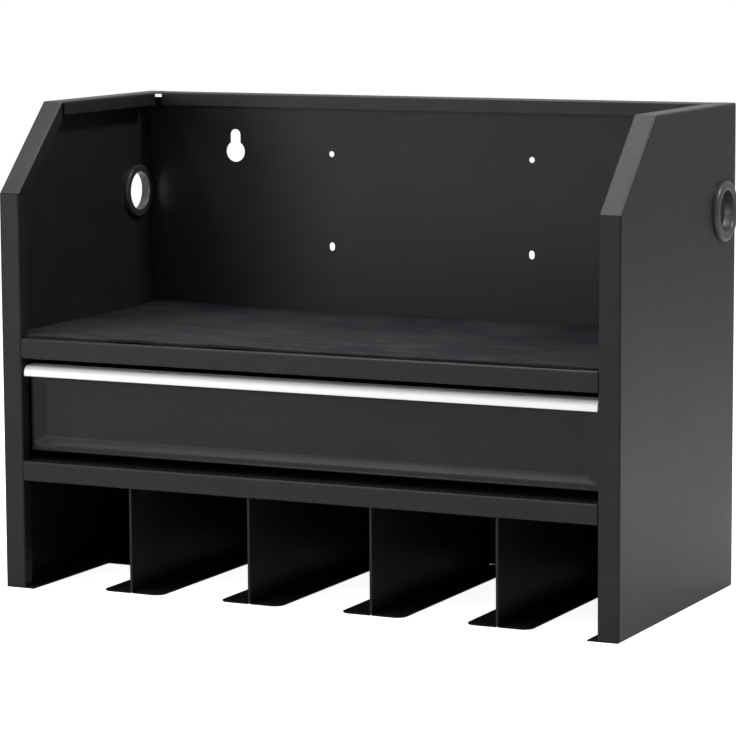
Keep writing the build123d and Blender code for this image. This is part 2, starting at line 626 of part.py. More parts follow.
def channel(web, tips, half_height, sheet, bend, y0, y1):
    """A channel of the left slide.

    web and tips are the distances of its web's outer face and of its legs' tips from the mounting face.
    """
    low, high = SLIDE_Z - half_height, SLIDE_Z + half_height
    if tips > web:
        path = [(tips, high), (web, high), (web, low), (tips, low)]
    else:
        path = [(tips, low), (web, low), (web, high), (tips, high)]
    section = bent_sheet([(slide_x(u), z) for u, z in path], sheet, bend)
    return prism_y(section, y0, y1)


def slide_channel(web, tips, half_height):
    """A full-length member of the left slide."""
    return channel(web, tips, half_height, SLIDE_SHEET, SLIDE_BEND, SLIDE_FRONT, SLIDE_BACK)


def left_slide_outer():
    """Outer member, fixed to the bracket."""
    tips = SLIDE_THICKNESS - SLIDE_LEG_END
    member = slide_channel(0.0, tips, SLIDE_HALF_HEIGHT)
    member -= race(OUTER_ROW, RACE_OUTER_OFFSET)
    for y in SLIDE_FASTENER_YS:
        member -= screw_head(y, RIVET_GAP)
    return member


def left_slide_middle():
    """Middle member, which runs between the outer and inner members."""
    tips = SLIDE_THICKNESS - SLIDE_MIDDLE_LEG_END
    member = slide_channel(MIDDLE_START, tips, MIDDLE_HALF_HEIGHT)
    member -= race(OUTER_ROW, RACE_OUTER_OFFSET)
    member -= race(INNER_ROW, RACE_INNER_OFFSET)
    return member


def left_slide_inner():
    """Inner member, fixed to the drawer box."""
    tips = SLIDE_INNER_LEG_START
    member = slide_channel(SLIDE_THICKNESS, tips, INNER_HALF_HEIGHT)
    member -= race(INNER_ROW, RACE_INNER_OFFSET)
    for y in SLIDE_FASTENER_YS:
        x0, x1 = slide_x(SLIDE_THICKNESS - SLIDE_SHEET * 2), slide_x(SLIDE_THICKNESS + SLIDE_SHEET)
        member -= rod_x(y, SLIDE_Z, HOLE_R, x0, x1)
    return member


def ball_ys():
    """Ball centres along a cage."""
    first = CAGE_FRONT + CAGE_END_MARGIN
    pitch = (CAGE_LENGTH - 2 * CAGE_END_MARGIN) / (BALLS_PER_ROW - 1)
    return [first + pitch * i for i in range(BALLS_PER_ROW)]


def left_cage(web, row, offset):
    """Ball cage: a thin channel with a pocket around every ball."""
    tips = offset + CAGE_REACH
    half_height = row + CAGE_SHEET / 2
    cage = channel(web, tips, half_height, CAGE_SHEET, CAGE_BEND, CAGE_FRONT, CAGE_FRONT + CAGE_LENGTH)
    for y in ball_ys():
        for z in (SLIDE_Z - row, SLIDE_Z + row):
            cage -= rod_z(slide_x(offset), y, BALL_R + CAGE_BALL_GAP, z - CAGE_SHEET * 2, z + CAGE_SHEET * 2)
    return cage


def left_balls(row, offset):
    """The balls of one cage."""
    places = [(slide_x(offset), y, z) for z in (SLIDE_Z - row, SLIDE_Z + row) for y in ball_ys()]
    return group([Pos(*place) * Sphere(BALL_R) for place in places])


def left_slide_bracket():
    """Hat-section rail that brings the slide in line with the opening between the columns."""
    crown_x = -OPENING - BRACKET_SHEET
    crown = SLIDE_HALF_HEIGHT + BRACKET_CROWN
    path = [
        (-INSIDE, BOX_TOP_Z),
        (-INSIDE, SLIDE_Z + crown),
        (crown_x, SLIDE_Z + crown),
        (crown_x, SLIDE_Z - crown),
        (-INSIDE, SLIDE_Z - crown),
        (-INSIDE, BOX_Z),
    ]
    bracket = prism_y(bent_sheet(path, BRACKET_SHEET, BRACKET_BEND), SLIDE_FRONT, SLIDE_BACK)
    for y in SLIDE_FASTENER_YS:
        bracket -= rod_x(y, SLIDE_Z, SCREW_R + RIVET_GAP, crown_x - SHEET, -OPENING + SHEET)
    return bracket


def screw_head(y, gap):
    """Countersunk head in the outer member's web, or its seat when a gap is given."""
    web_face = slide_x(SLIDE_SHEET)
    rim = Pos(y, SLIDE_Z) * Circle(SCREW_HEAD_R + gap)
    root = Pos(y, SLIDE_Z) * Circle(SCREW_R + gap)
    return loft([Pos(slide_x(0), 0, 0) * (YZ_PLANE * root), Pos(web_face, 0, 0) * (YZ_PLANE * rim)])


def slide_screws():
    """Countersunk screws from the outer members into the brackets."""
    screws = []
    for y in SLIDE_FASTENER_YS:
        tip = -OPENING - BRACKET_SHEET - SCREW_TIP
        screw = screw_head(y, 0.0) + rod_x(y, SLIDE_Z, SCREW_R, tip, slide_x(0))
        screws += [screw, mirrored(screw)]
    return group(screws)


def rivet(below, above):
    """Rivet along +Z through sheets below and above the origin plane, with its head below."""
    shank = rod_z(0, 0, RIVET_R, -below, above)
    head = rod_z(0, 0, RIVET_HEAD_R, -below - RIVET_HEAD_T, -below)
    return shank + head + rod_z(0, 0, RIVET_TAIL_R, above, above + RIVET_TAIL_T)


def slide_rivets():
    """Rivets from the inner members into the drawer box, heads inside the slide."""
    rivets = []
    for y in SLIDE_FASTENER_YS:
        seat = Plane(origin=(-BOX_HALF, y, SLIDE_Z), x_dir=(0, 1, 0), z_dir=(1, 0, 0))
        one = seat.location * rivet(SLIDE_SHEET, DRAWER_SHEET)
        rivets += [one, mirrored(one)]
    return group(rivets)


def pull_rivets():
    """Rivets through the pull's leg and the drawer front's border."""
    rivets = []
    for x in pull_rivet_xs():
        seat = Plane(origin=(x, BORDER_Y, pull_rivet_z()), x_dir=(1, 0, 0), z_dir=(0, 1, 0))
        rivets.append(seat.location * rivet(PULL_SHEET, DRAWER_SHEET))
    return group(rivets)


def build_parts():
    """Every piece of the tool holder, by name."""
    outer_cage = left_cage(OUTER_CAGE_START, OUTER_ROW, RACE_OUTER_OFFSET)
    inner_cage = left_cage(INNER_CAGE_START, INNER_ROW, RACE_INNER_OFFSET)
    outer_balls = left_balls(OUTER_ROW, RACE_OUTER_OFFSET)
    inner_balls = left_balls(INNER_ROW, RACE_INNER_OFFSET)
    paired = {
        "side_panel": left_side_panel(),
        "slide_bracket": left_slide_bracket(),
        "slide_outer": left_slide_outer(),
        "slide_middle": left_slide_middle(),
        "slide_inner": left_slide_inner(),
        "outer_cage": outer_cage,
        "inner_cage": inner_cage,
        "outer_balls": outer_balls,
        "inner_balls": inner_balls,
    }
    parts = {}
    for name, shape in paired.items():
        parts["left_" + name] = shape
        parts["right_" + name] = mirrored(shape)
    parts["back_panel"] = back_panel()
    parts["top_shelf"] = top_shelf()
    parts["lower_deck"] = front_banded_floor(DECK_Z, DECK_EDGE_HEIGHT)
    for i, wall in enumerate(WALLS, start=1):
        parts[f"divider_{i}_left_half"] = divider_left_half(wall)
        parts[f"divider_{i}_right_half"] = divider_right_half(wall)
    parts["bay_plate"] = bay_plate()
    parts["shelf_mat"] = shelf_mat()
    for name, side in (("left", -1), ("right", 1)):
        parts[name + "_grommet_bushing"] = grommet_bushing(side)
        parts[name + "_grommet_ring"] = grommet_ring(side)
    parts["drawer_body"] = drawer_body()
    parts["drawer_front"] = drawer_front()
    parts["drawer_pull"] = drawer_pull()
    parts["slide_screws"] = slide_screws()
    parts["slide_rivets"] = slide_rivets()
    parts["pull_rivets"] = pull_rivets()
    return parts


os.makedirs("parts", exist_ok=True)
for node, shape in build_parts().items():
    export_step(shape, f"parts/{node}.step")
    print(node, len(shape.solids()), round(shape.volume, 1))
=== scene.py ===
"""Studio scene of a wall-hung power tool holder: its finishes, its finer surfaces, the light and the camera.

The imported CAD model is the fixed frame, in metres: +X to the right, +Y towards the wall, +Z up, and the
origin on the ground in the middle. Folded sheets keep their CAD bodies and get a finish. The mat, the pull,
the cable grommets and the pressed drawer front are worked out again here as smooth surfaces.
"""

import json
import logging
import math
from dataclasses import dataclass, field
from enum import Enum

import bpy
import numpy as np
from mathutils import Matrix, Vector


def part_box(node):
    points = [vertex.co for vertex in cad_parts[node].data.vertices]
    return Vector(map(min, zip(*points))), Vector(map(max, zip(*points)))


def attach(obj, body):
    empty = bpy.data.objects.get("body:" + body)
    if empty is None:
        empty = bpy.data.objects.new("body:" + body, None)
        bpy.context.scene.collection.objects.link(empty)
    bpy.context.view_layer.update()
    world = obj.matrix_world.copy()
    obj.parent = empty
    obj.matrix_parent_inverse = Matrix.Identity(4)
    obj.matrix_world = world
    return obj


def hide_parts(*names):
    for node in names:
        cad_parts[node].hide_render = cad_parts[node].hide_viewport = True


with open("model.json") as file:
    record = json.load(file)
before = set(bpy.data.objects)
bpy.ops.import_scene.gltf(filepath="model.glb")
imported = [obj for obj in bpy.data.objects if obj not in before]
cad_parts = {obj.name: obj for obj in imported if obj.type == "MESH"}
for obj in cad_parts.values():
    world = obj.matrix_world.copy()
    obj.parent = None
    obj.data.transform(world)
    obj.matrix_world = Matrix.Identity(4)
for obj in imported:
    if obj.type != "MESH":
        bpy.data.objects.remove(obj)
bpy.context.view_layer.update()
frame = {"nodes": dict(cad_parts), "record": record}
LOG = logging.getLogger("tool_holder")
MM = 0.001
Triple = tuple[float, float, float]
Colour = Triple
Span = tuple[float, float]


class Finish(Enum):
    """The record's material slots."""

    POWDER_COAT = "black_powder_coat"
    ALUMINIUM = "satin_aluminium"
    PLASTIC = "grommet_plastic"
    MAT = "mat"
    ZINC = "zinc_plate"
    CAGE = "cage_steel"
    BALL = "bearing_steel"
    FASTENER = "fastener_zinc"


class Side(Enum):
    """A side of the cabinet, with the sign of its X."""

    LEFT = -1
    RIGHT = 1

    @property
    def word(self) -> str:
        """The side's name in node names."""
        return self.name.lower()


class Value:
    """A shader socket that takes part in Python arithmetic."""

    def __init__(self, tree: "ShaderTree", socket: bpy.types.NodeSocket) -> None:
        """Wrap an output socket of one of the tree's nodes."""
        self.tree = tree
        self.socket = socket

    def _math(self, operation: str, *operands: "Value | float") -> "Value":
        """Add one Math node with these operands."""
        sockets = dict(enumerate(operands))
        return self.tree.node("ShaderNodeMath", {"operation": operation}, sockets)

    def __add__(self, other: "Value | float") -> "Value":
        """Sum."""
        return self._math("ADD", self, other)

    __radd__ = __add__

    def __sub__(self, other: "Value | float") -> "Value":
        """Difference."""
        return self._math("SUBTRACT", self, other)

    def __rsub__(self, other: float) -> "Value":
        """Difference from a number."""
        return self._math("SUBTRACT", other, self)

    def __mul__(self, other: "Value | float") -> "Value":
        """Product."""
        return self._math("MULTIPLY", self, other)

    __rmul__ = __mul__

    def maximum(self, other: "Value | float") -> "Value":
        """The larger of the two."""
        return self._math("MAXIMUM", self, other)

    def between(self, low: float, high: float) -> "Value":
        """0 up to low, 1 from high, and a smooth step in between."""
        sockets = {"Value": self, "From Min": low, "From Max": high}
        return self.tree.node("ShaderNodeMapRange", {"interpolation_type": "SMOOTHSTEP"}, sockets)


class ShaderTree:
    """The node tree of a material or of the world."""

    # Where a Mix node for colours has its two colours and its result
    MIX_LOW, MIX_HIGH, MIX_RESULT = 6, 7, 2

    def __init__(self, owner: bpy.types.Material | bpy.types.World) -> None:
        """Empty the owner's node tree.

        Args:
            owner: The material or world that owns it.
        """
        owner.use_nodes = True
        self.owner = owner
        self.tree = owner.node_tree
        self.tree.nodes.clear()

    @classmethod
    def of_material(cls, name: str) -> "ShaderTree":
        """The tree of a new material of that name."""
        return cls(bpy.data.materials.new(name))

    def make(self, kind: str, settings: dict | None = None, sockets: dict | None = None) -> bpy.types.Node:
        """Add a node.

        Args:
            kind: The node's type.
            settings: Its properties, which are set first.
            sockets: Numbers, colours or Values for its inputs, by name or index.

        Returns:
            The node.
        """
        made = self.tree.nodes.new(kind)
        for key, value in (settings or {}).items():
            setattr(made, key, value)
        for key, value in (sockets or {}).items():
            if isinstance(value, Value):
                self.tree.links.new(value.socket, made.inputs[key])
            else:
                made.inputs[key].default_value = value
        return made

    def node(self, kind: str, settings: dict | None = None, sockets: dict | None = None,
             output: int | str = 0) -> Value:
        """Add a node and take one of its outputs, the first unless another is named."""
        return Value(self, self.make(kind, settings, sockets).outputs[output])

    def place(self, scale: Triple = (1.0, 1.0, 1.0)) -> Value:
        """Object coordinates in metres, stretched along each axis."""
        here = self.node("ShaderNodeTexCoord", output="Object")
        return self.node("ShaderNodeMapping", None, {"Vector": here, "Scale": scale})

    def noise(self, where: Value, scale: float, detail: float = 2.0, roughness: float = 0.5) -> Value:
        """Smooth noise from 0 to 1, with so many features to the metre."""
        sockets = {"Vector": where, "Scale": scale, "Detail": detail, "Roughness": roughness}
        return self.node("ShaderNodeTexNoise", None, sockets, "Fac")

    def blend(self, factor: Value, low: Value | Colour, high: Colour) -> Value:
        """Mix two colours.

        Args:
            factor: 0 for the low colour, 1 for the high one.
            low: A colour, or a Value that carries one.
            high: A colour.

        Returns:
            The mixed colour.
        """
        first = low if isinstance(low, Value) else (*low, 1.0)
        sockets = {"Factor": factor, self.MIX_LOW: first, self.MIX_HIGH: (*high, 1.0)}
        return self.node("ShaderNodeMix", {"data_type": "RGBA"}, sockets, self.MIX_RESULT)

    def bump(self, height: Value, distance: float, strength: float) -> Value:
        """A normal tilted by a height from 0 to 1 that stands for that distance."""
        sockets = {"Height": height, "Distance": distance, "Strength": strength}
        return self.node("ShaderNodeBump", None, sockets)

    def finish(self, shader: Value, kind: str = "ShaderNodeOutputMaterial") -> bpy.types.ID:
        """Use a shader as the surface.

        Args:
            shader: The shader's output.
            kind: The type of the output node.

        Returns:
            The material or world that owns the tree.
        """
        self.make(kind, None, {"Surface": shader})
        return self.owner


@dataclass(frozen=True)
class PowderCoat:
    """Satin black powder coat: a fine orange peel, a faint cloudiness in its gloss and a little dust."""

    colour: Colour = (0.0105, 0.0105, 0.0108)
    dusty: Colour = (0.0145, 0.0145, 0.0147)
    dust_span: Span = (0.45, 0.8)
    ior: float = 1.3
    specular: float = 0.4
    roughness: float = 0.38
    swing: float = 0.05
    peel_per_metre: float = 1100.0
    peel_height: float = 0.03 * MM
    peel_strength: float = 0.6
    grain_share: float = 0.2
    clouds_per_metre: float = 9.0
    finer: float = 3.0                  # the grain against the peel, and the dust against the clouds

    def material(self) -> bpy.types.Material:
        """Peel in the normal, clouds in the roughness and dust in the colour.

        Returns:
            The material.
        """
        tree = ShaderTree.of_material("powder_coat")
        here = tree.place()
        peel = tree.noise(here, self.peel_per_metre, detail=3.0)
        grain = tree.noise(here, self.peel_per_metre * self.finer, detail=1.0)
        clouds = tree.noise(here, self.clouds_per_metre, detail=4.0, roughness=0.6)
        specks = tree.noise(here, self.clouds_per_metre * self.finer, detail=5.0, roughness=0.7)
        height = peel * (1.0 - self.grain_share) + grain * self.grain_share
        return tree.finish(tree.node("ShaderNodeBsdfPrincipled", None, {
            "Base Color": tree.blend(specks.between(*self.dust_span), self.colour, self.dusty),
            "Roughness": clouds * self.swing * 2.0 + (self.roughness - self.swing),
            "IOR": self.ior,
            "Specular IOR Level": self.specular,
            "Normal": tree.bump(height, self.peel_height, self.peel_strength),
        }))


@dataclass(frozen=True)
class SatinAluminium:
    """Anodised aluminium, brushed along the pull's length."""

    light: Colour = (0.80, 0.805, 0.81)
    dull: Colour = (0.74, 0.745, 0.755)
    metallic: float = 0.1
    roughness: float = 0.5
    swing: float = 0.05
    strokes: Triple = (4.0, 1600.0, 1600.0)     # to the metre, along each axis
    stroke_height: float = 0.02 * MM
    stroke_strength: float = 0.35
    patches_per_metre: float = 14.0

    def material(self) -> bpy.types.Material:
        """Brush strokes in the normal, the roughness and the colour.

        Returns:
            The material.
        """
        tree = ShaderTree.of_material("satin_aluminium")
        strokes = tree.noise(tree.place(self.strokes), 1.0, detail=3.0, roughness=0.6)
        patches = tree.noise(tree.place(), self.patches_per_metre, detail=3.0)
        return tree.finish(tree.node("ShaderNodeBsdfPrincipled", None, {
            "Base Color": tree.blend(patches * 0.5 + strokes * 0.5, self.dull, self.light),
            "Metallic": self.metallic,
            "Roughness": strokes * self.swing * 2.0 + (self.roughness - self.swing),
            "Normal": tree.bump(strokes, self.stroke_height, self.stroke_strength),
        }))


@dataclass(frozen=True)
class MouldedPlastic:
    """Black moulded plastic with the soft sheen of a polished tool."""

    colour: Colour = (0.02, 0.02, 0.021)
    worn: Colour = (0.032, 0.032, 0.033)
    roughness: float = 0.36
    swing: float = 0.05
    patches_per_metre: float = 60.0
    grain_per_metre: float = 2200.0
    grain_height: float = 0.02 * MM
    grain_strength: float = 0.4

    def material(self) -> bpy.types.Material:
        """Fine grain in the normal, patches in the roughness and the colour.

        Returns:
            The material.
        """
        tree = ShaderTree.of_material("moulded_plastic")
        here = tree.place()
        patches = tree.noise(here, self.patches_per_metre, detail=4.0)
        grain = tree.noise(here, self.grain_per_metre, detail=2.0)
        return tree.finish(tree.node("ShaderNodeBsdfPrincipled", None, {
            "Base Color": tree.blend(patches, self.colour, self.worn),
            "Roughness": patches * self.swing * 2.0 + (self.roughness - self.swing),
            "Normal": tree.bump(grain, self.grain_height, self.grain_strength),
        }))


@dataclass(frozen=True)
class MatFoam:
    """Dark foam sheet with a matt, felted skin, faint blue and brown patches, pale rubbed patches, and
    painted shade that dims the pale patches towards the rear.
    """

    cool: Colour = (0.0065, 0.0065, 0.0095)
    warm: Colour = (0.0135, 0.012, 0.012)
    pale: Colour = (0.031, 0.029, 0.030)
    tints_per_metre: float = 7.0
    tint_span: Span = (0.38, 0.62)
    rubs_per_metre: float = 22.0
    rub_stretch: Triple = (1.0, 2.6, 1.0)
    rub_span: Span = (0.42, 0.78)
    rub_share: float = 0.7
    fibre_share: float = 0.25
    unrubbed: float = 0.25              # painted shade: how pale the rear stays, as a share of the front
    depth_span: Span = (-0.15, 0.10)    # metres along Y over which the painted shade deepens from the front to the rear
    specular: float = 0.08
    roughness: float = 0.78
    swing: float = 0.08
    fibres_per_metre: float = 1500.0
    fibre_height: float = 0.12 * MM
    fibre_strength: float = 0.7

    def material(self) -> bpy.types.Material:
        """Patches of two tints, pale rubbed places, and a grain of fine fibres, with painted shade that dims
        the pale places and fibres towards the rear.

        Returns:
            The material.
        """
        tree = ShaderTree.of_material("mat_foam")
        here = tree.place()
        tint = tree.noise(here, self.tints_per_metre, detail=4.0, roughness=0.6).between(*self.tint_span)
        stretched = tree.place(self.rub_stretch)
        rubs = tree.noise(stretched, self.rubs_per_metre, detail=5.0, roughness=0.65)
        fibres = tree.noise(here, self.fibres_per_metre, detail=4.0, roughness=0.65)
        # Painted shade: the pale places and fibres fade from the front towards the rear, where the back panel
        # shades the mat
        depth = tree.node("ShaderNodeSeparateXYZ", None, {"Vector": here}, "Y")
        unshaded_share = 1.0 - depth.between(*self.depth_span) * (1.0 - self.unrubbed)
        paleness = (rubs.between(*self.rub_span) * self.rub_share + fibres * self.fibre_share) * unshaded_share
        tinted = tree.blend(tint, self.cool, self.warm)
        return tree.finish(tree.node("ShaderNodeBsdfPrincipled", None, {
            "Base Color": tree.blend(paleness, tinted, self.pale),
            "Roughness": fibres * self.swing * 2.0 + (self.roughness - self.swing),
            "Specular IOR Level": self.specular,
            "Normal": tree.bump(fibres, self.fibre_height, self.fibre_strength),
        }))


@dataclass(frozen=True)
class PlatedSteel:
    """Bare or plated steel: drawn strip, zinc plate or polished balls."""

    name: str
    light: Colour
    dull: Colour
    roughness: float
    swing: float
    grain: Triple                       # strokes to the metre, along each axis
    grain_height: float = 0.01 * MM
    grain_strength: float = 0.3
    clouds_per_metre: float = 55.0

    def material(self) -> bpy.types.Material:
        """Grain drawn along one axis, with clouds of duller plate.

        Returns:
            The material.
        """
        tree = ShaderTree.of_material(self.name)
        strokes = tree.noise(tree.place(self.grain), 1.0, detail=3.0)
        clouds = tree.noise(tree.place(), self.clouds_per_metre, detail=4.0, roughness=0.6)
        return tree.finish(tree.node("ShaderNodeBsdfPrincipled", None, {
            "Base Color": tree.blend(clouds, self.dull, self.light),
            "Metallic": 1.0,
            "Roughness": clouds * self.swing * 2.0 + (self.roughness - self.swing),
            "Normal": tree.bump(strokes, self.grain_height, self.grain_strength),
        }))


RECIPES = {
    Finish.POWDER_COAT: PowderCoat(),
    Finish.ALUMINIUM: SatinAluminium(),
    Finish.PLASTIC: MouldedPlastic(),
    Finish.MAT: MatFoam(),
    Finish.ZINC: PlatedSteel(
        "zinc_plate", light=(0.68, 0.70, 0.72), dull=(0.55, 0.56, 0.58),
        roughness=0.34, swing=0.08, grain=(900.0, 6.0, 900.0)),
    Finish.CAGE: PlatedSteel(
        "cage_strip", light=(0.60, 0.60, 0.61), dull=(0.48, 0.48, 0.49),
        roughness=0.40, swing=0.06, grain=(1200.0, 9.0, 1200.0)),
    Finish.BALL: PlatedSteel(
        "bearing_steel", light=(0.80, 0.81, 0.83), dull=(0.74, 0.75, 0.77),
        roughness=0.12, swing=0.03, grain=(400.0, 400.0, 400.0)),
    Finish.FASTENER: PlatedSteel(
        "fastener_zinc", light=(0.66, 0.67, 0.68), dull=(0.52, 0.53, 0.54),
        roughness=0.38, swing=0.08, grain=(700.0, 700.0, 700.0)),
}


class PaintShop:
    """Makes each finish once and puts it on CAD nodes and on new pieces."""

    def __init__(self) -> None:
        """Read each node's slot from the record."""
        self.made: dict[Finish, bpy.types.Material] = {}
        self.slots = {part["node"]: Finish(part["material_slot"]) for part in frame["record"]["subparts"]}

    def material(self, finish: Finish) -> bpy.types.Material:
        """The finish's material, made on first use.

        Args:
            finish: Which finish is wanted.

        Returns:
            The material.
        """
        if finish not in self.made:
            self.made[finish] = RECIPES[finish].material()
        return self.made[finish]

    def dress(self, *nodes: str) -> None:
        """Give CAD nodes the finish of their record slots.

        Args:
            nodes: The nodes' names.
        """
        for name in nodes:
            body = frame["nodes"][name]
            if not body.material_slots:
                body.data.materials.append(None)
            for slot in body.material_slots:
                slot.material = self.material(self.slots[name])
            LOG.info("dressed %s in %s", name, self.slots[name].value)

    def add(self, piece: bpy.types.Object, finish: Finish, body: str, *nodes: str) -> None:
        """Finish a new piece, let it ride on a body and stand for CAD nodes.

        Args:
            piece: The new piece, with its place in its mesh.
            finish: Its finish.
            body: The CAD body that carries it.
            nodes: The CAD nodes that it replaces.
        """
        piece.data.materials.clear()
        piece.data.materials.append(self.material(finish))
        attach(piece, body)
        if nodes:
            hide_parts(*nodes)
        LOG.info("built %s on %s, %d faces", piece.name, body, len(piece.data.polygons))


def new_piece(name: str, points: np.ndarray, faces: list[list[int]],
              crease: float = 40.0) -> bpy.types.Object:
    """Make an object from points and faces.

    Args:
        name: The object's name.
        points: An (n, 3) array of places in metres.
        faces: Corner indices of each face, counter-clockwise from outside.
        crease: Edges that turn by more than this many degrees stay sharp.

    Returns:
        The object, at the origin, shaded smooth between its creases.
    """
    mesh = bpy.data.meshes.new(name)
    mesh.from_pydata(points.tolist(), [], faces)
    mesh.polygons.foreach_set("use_smooth", np.ones(len(mesh.polygons), bool))
    mesh.set_sharp_from_angle(angle=math.radians(crease))
    mesh.update()
    piece = bpy.data.objects.new(name, mesh)
    bpy.context.scene.collection.objects.link(piece)
    return piece


def grid_faces(rows: int, columns: int, wrap_rows: bool = False, wrap_columns: bool = False) -> np.ndarray:
    """Quads of a grid of points stored row by row.

    The point in row i and column j has the index i times the columns plus j, and its quad runs from there to
    the next column, the next row, and back.

    Args:
        rows: How many rows the grid has.
        columns: How many points a row has.
        wrap_rows: Whether the last row joins the first.
        wrap_columns: Whether the last column joins the first.

    Returns:
        An (n, 4) array of corner indices.
    """
    row = np.arange(rows if wrap_rows else rows - 1)[:, None]
    column = np.arange(columns if wrap_columns else columns - 1)[None, :]
    next_row = (row + 1) % rows
    next_column = (column + 1) % columns
    corners = [row * columns + column, row * columns + next_column,
               next_row * columns + next_column, next_row * columns + column]
    return np.stack([np.broadcast_to(c, (row.size, column.size)).ravel() for c in corners], axis=1)


def arc(centre: tuple[float, float], radius: float, start: float, end: float, steps: int) -> np.ndarray:
    """Centre plus radius times cosine and sine, for even angles in degrees from start to end."""
    turn = np.radians(np.linspace(start, end, steps))
    return np.stack([centre[0] + radius * np.cos(turn), centre[1] + radius * np.sin(turn)], axis=1)


@dataclass
class Cabinet:
    """Side panels, back panel, shelf, deck, dividers and the plate under the left-hand bay."""

    dividers: int = 4
    nodes: tuple[str, ...] = ("back_panel", "top_shelf", "lower_deck", "bay_plate")

    def build(self, shop: PaintShop) -> None:
        """Dress every folded sheet of the cabinet.

        Args:
            shop: Makes and applies the finishes.
        """
        panels = [f"{side.word}_side_panel" for side in Side]
        halves = [f"divider_{i}_{side.word}_half" for i in range(1, self.dividers + 1) for side in Side]
        shop.dress(*self.nodes, *panels, *halves)


@dataclass
class TrayMat:
    """Foam mat on the shelf: cut around the columns, a little wavy, and lifted in a few places."""

    node: str = "shelf_mat"
    notch_wide: float = 19.9 * MM       # cut out of each front corner for the columns' lips
    notch_deep: float = 9.6 * MM
    edge_round: float = 0.7 * MM
    edge_fall: float = 0.6              # how far the rounded edge drops, as a share of edge_round
    crease: float = 50.0
    columns: int = 260
    rows: int = 120
    ripple: float = 0.30 * MM
    # Each wave's turn in radians per metre along x and along y, and its start; the first one is bent
    waves: tuple[Triple, ...] = ((41.0, 0.0, 0.0), (13.0, 57.0, 1.3), (77.0, -31.0, 0.4))
    bend: float = 23.0
    settled: float = 60.0 * MM          # the ripples die out over this distance towards the front edge
    # Places where the mat lifts: x, y, half length along x, half length along y, height
    lifts: tuple[tuple[float, float, float, float, float], ...] = (
        (-184 * MM, -150 * MM, 26 * MM, 13 * MM, 1.7 * MM),
        (-80 * MM, -150 * MM, 34 * MM, 15 * MM, 1.6 * MM),
        (250 * MM, -150 * MM, 20 * MM, 10 * MM, 0.5 * MM),
        (-290 * MM, 150 * MM, 60 * MM, 22 * MM, 3.2 * MM),
        (150 * MM, 150 * MM, 90 * MM, 18 * MM, 1.0 * MM),
    )

    def lift(self, x: np.ndarray, y: np.ndarray, front: float) -> np.ndarray:
        """Height of the underside over the shelf.

        The ripples are the sum of the waves' sines, raised so that it is never negative, times a square that
        falls to nothing at the front edge. Each lift adds a bell curve of x and y.

        Args:
            x: The grid's places along X.
            y: The grid's places along Y.
            front: Where the front edge is.

        Returns:
            A height for each point.
        """
        turns = [x * along + y * across + start for along, across, start in self.waves]
        turns[0] = turns[0] + np.sin(y * self.bend)
        count = len(turns)
        fade = np.clip((y - front) / self.settled, 0.0, 1.0) ** 2
        height = self.ripple * fade * (sum(np.sin(turn) for turn in turns) + count) / count
        for at_x, at_y, long_x, long_y, high in self.lifts:
            height = height + high * np.exp(-((x - at_x) / long_x) ** 2 - ((y - at_y) / long_y) ** 2)
        return height

    def lines(self, low: float, high: float, extra: list[float], count: int) -> np.ndarray:
        """Grid lines between two edges, with a close pair at each edge and the extra lines."""
        even = np.linspace(low + self.edge_round, high - self.edge_round, count)
        return np.unique(np.concatenate([[low, high], even, extra]))

    def build(self, shop: PaintShop) -> None:
        """Build the closed sheet from a top and a bottom grid and the walls round their outline.

        A point of the bottom grid is (x, y, shelf + lift), and the one over it is a thickness higher, less a
        fall that grows evenly over the last stretch before a cut edge.

        Args:
            shop: Makes and applies the finishes.
        """
        low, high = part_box(self.node)
        narrow = high.x - self.notch_wide
        back_of_notch = low.y + self.notch_deep
        rounds = [narrow, narrow - self.edge_round]
        xs = self.lines(low.x, high.x, rounds + [-v for v in rounds], self.columns)
        ys = self.lines(low.y, high.y, [back_of_notch, back_of_notch + self.edge_round], self.rows)
        x, y = np.meshgrid(xs, ys)
        under = self.lift(x, y, low.y)
        inset = self.inset(x, y, narrow, back_of_notch, low, high)
        drop = self.edge_round * self.edge_fall * np.clip(1.0 - inset / self.edge_round, 0.0, 1.0)
        bottom = np.stack([x, y, low.z + under], axis=2).reshape(-1, 3)
        top = np.stack([x, y, high.z + under - drop], axis=2).reshape(-1, 3)
        quads = grid_faces(len(ys), len(xs))
        centre = bottom[quads].mean(axis=1)
        kept = (np.abs(centre[:, 0]) < narrow) | (centre[:, 1] > back_of_notch)
        faces = closed_sheet_faces(quads[kept], len(bottom))
        points, faces = drop_unused(np.concatenate([bottom, top]), faces)
        mat = new_piece("tray_mat", points, faces.tolist(), self.crease)
        shop.add(mat, Finish.MAT, "cabinet", self.node)

    @staticmethod
    def inset(x: np.ndarray, y: np.ndarray, narrow: float, back_of_notch: float,
              low: Vector, high: Vector) -> np.ndarray:
        """Distance of each grid point from the nearest cut edge.

        Args:
            x: The grid's places along X.
            y: The grid's places along Y.
            narrow: Half the width between the notches.
            back_of_notch: Where the notches end, along Y.
            low: The mat's lowest corner.
            high: Its highest corner.

        Returns:
            A distance for each point.
        """
        side = high.x - np.abs(x)
        ends = np.minimum(y - low.y, high.y - y)
        beside_notch = np.where(y < back_of_notch, narrow - np.abs(x), side)
        behind_notch = np.where(np.abs(x) > narrow, y - back_of_notch, ends)
        return np.clip(np.minimum(np.minimum(beside_notch, behind_notch), ends), 0.0, None)


